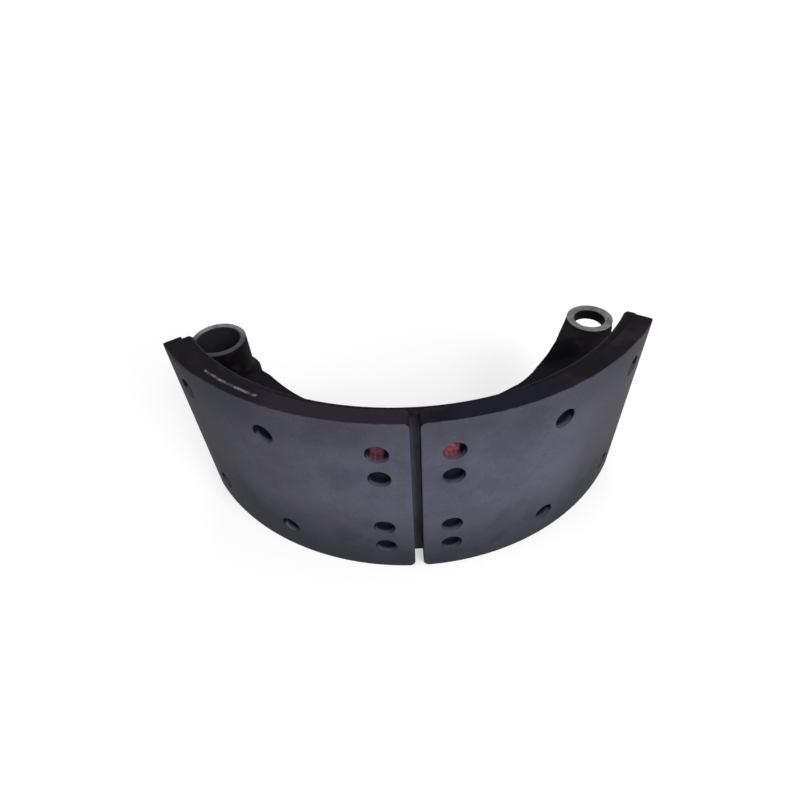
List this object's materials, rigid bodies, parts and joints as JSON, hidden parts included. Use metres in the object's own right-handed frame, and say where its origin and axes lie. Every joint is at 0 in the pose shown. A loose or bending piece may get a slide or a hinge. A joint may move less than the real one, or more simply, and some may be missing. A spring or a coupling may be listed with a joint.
{
  "type": "brake shoe",
  "caption": "Curved drum brake shoe: a twin-web casting with riveted friction linings, a tubular anchor eye at one end and a forked eye for the cam roller at the other.",
  "frame": {"origin": "middle of the anchor bore, on its axis", "axes": "+Z along the anchor bore, which is parallel to the drum axis and upright as the shoe stands on its side edge; +X from the anchor end to the cam end; the linings' outer face looks towards -Y"},
  "size_m": [0.3611, 0.1893, 0.16],
  "materials": {
    "casting": "sand cast, painted black, machined bright at the tube's and eyes' faces",
    "lining": "matte pressed friction composite, dark slate grey with pale specks",
    "rivet": "dull steel, two heads marked with red paint"
  },
  "bodies": {
    "root": {"shoe_casting": "casting", "lining_anchor_side": "lining", "lining_cam_side": "lining", "lining_rivets": "rivet"}
  },
  "joints": []
}
